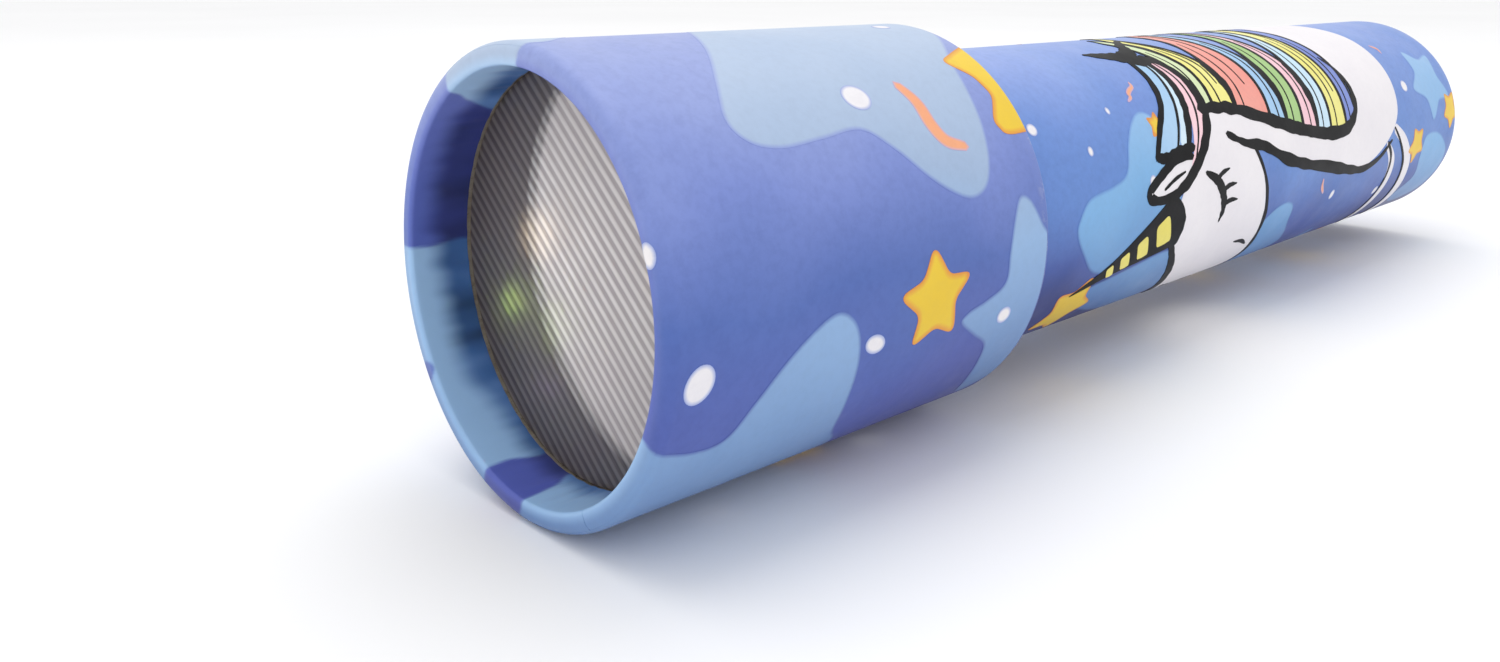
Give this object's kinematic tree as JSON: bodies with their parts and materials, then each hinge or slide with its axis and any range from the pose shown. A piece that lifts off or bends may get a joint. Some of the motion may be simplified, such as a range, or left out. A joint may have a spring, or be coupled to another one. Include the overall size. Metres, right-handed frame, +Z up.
{
  "type": "kaleidoscope",
  "caption": "Tube kaleidoscope: a card body tube with a three-mirror channel and eye hole, and a wider turning head that holds loose coloured pieces behind a ribbed diffuser.",
  "frame": {"origin": "under the middle of the tube's length, on the surface that the head rests on, with the tube lying on its side", "axes": "+X along the tube from the diffuser end to the eyepiece end, +Z up, +Y across"},
  "size_m": [0.215, 0.05, 0.0499],
  "materials": {
    "head_print": "printed paper with a faint gloss, blue-violet ground with pale blue cloud shapes, yellow stars and off-white dots",
    "body_print": null,
    "grey_card": "wound grey card tube",
    "collar_card": "plain wound card",
    "cell_card": "white-lined card",
    "diffuser_plastic": "frosted translucent sheet with fine straight ribs",
    "clear_window": "clear plastic disc",
    "black_card": "matt black card",
    "eyepiece_card": "blue printed card",
    "mirror_strip": "front-surface mirror strip",
    "backing_card": "dark grey card",
    "pad_foam": "open-cell foam packing",
    "red_plastic": "translucent red moulded plastic",
    "green_plastic": "translucent green moulded plastic with a leaf vein",
    "yellow_plastic": "translucent yellow moulded plastic",
    "olive_plastic": "dark olive moulded plastic",
    "violet_plastic": "pale violet translucent plastic",
    "pink_plastic": "translucent pink moulded plastic",
    "clear_plastic": "clear cut plastic bead",
    "blue_plastic": "translucent blue cut plastic bead"
  },
  "bodies": {
    "body": {"body_tube": "grey_card", "body_wrap": "body_print", "stop_collar": "collar_card", "front_mask": "black_card", "mirror_lower": "mirror_strip", "mirror_left": "mirror_strip", "mirror_right": "mirror_strip", "mirror_backing_lower": "backing_card", "mirror_backing_left": "backing_card", "mirror_backing_right": "backing_card", "pad_front_lower": "pad_foam", "pad_front_left": "pad_foam", "pad_front_right": "pad_foam", "pad_rear_lower": "pad_foam", "pad_rear_left": "pad_foam", "pad_rear_right": "pad_foam", "eyepiece_plate": "eyepiece_card", "eyepiece_spacer": "black_card", "eye_window": "clear_window", "eye_window_ring": "black_card"},
    "head": {"head_wrap": "head_print", "head_tube": "grey_card", "diffuser_disc": "diffuser_plastic", "cell_ring": "cell_card", "cell_window": "clear_window", "window_retainer": "collar_card", "head_collar": "collar_card"},
    "tumble_a": {"leaf_green_a1": "green_plastic", "sliver_violet_a2": "violet_plastic", "flower_red_a3": "red_plastic", "sliver_violet_a4": "violet_plastic", "leaf_green_a5": "green_plastic"},
    "tumble_b": {"gem_clear_b1": "clear_plastic", "leaf_green_b2": "green_plastic", "flower_pink_b3": "pink_plastic", "leaf_green_b4": "green_plastic", "gem_clear_b5": "clear_plastic"},
    "tumble_c": {"hoop_yellow_c1": "yellow_plastic", "gem_blue_c2": "blue_plastic", "clover_olive_c3": "olive_plastic", "gem_blue_c4": "blue_plastic", "hoop_yellow_c5": "yellow_plastic"},
    "tumble_d": {"flower_red_d1": "red_plastic", "hoop_yellow_d2": "yellow_plastic", "sliver_violet_d3": "violet_plastic", "hoop_yellow_d4": "yellow_plastic", "flower_red_d5": "red_plastic"}
  },
  "joints": [
    {"name": "head_turn", "type": "hinge", "parent": "body", "child": "head", "pos_m": [0, 0, 0.02497], "axis": [1, 0, 0], "continuous": true},
    {"name": "tumble_a_swing", "type": "hinge", "parent": "head", "child": "tumble_a", "pos_m": [0, 0, 0.02497], "axis": [1, 0, 0], "continuous": true},
    {"name": "tumble_b_swing", "type": "hinge", "parent": "head", "child": "tumble_b", "pos_m": [0, 0, 0.02497], "axis": [1, 0, 0], "continuous": true},
    {"name": "tumble_c_swing", "type": "hinge", "parent": "head", "child": "tumble_c", "pos_m": [0, 0, 0.02497], "axis": [1, 0, 0], "continuous": true},
    {"name": "tumble_d_swing", "type": "hinge", "parent": "head", "child": "tumble_d", "pos_m": [0, 0, 0.02497], "axis": [1, 0, 0], "continuous": true}
  ]
}
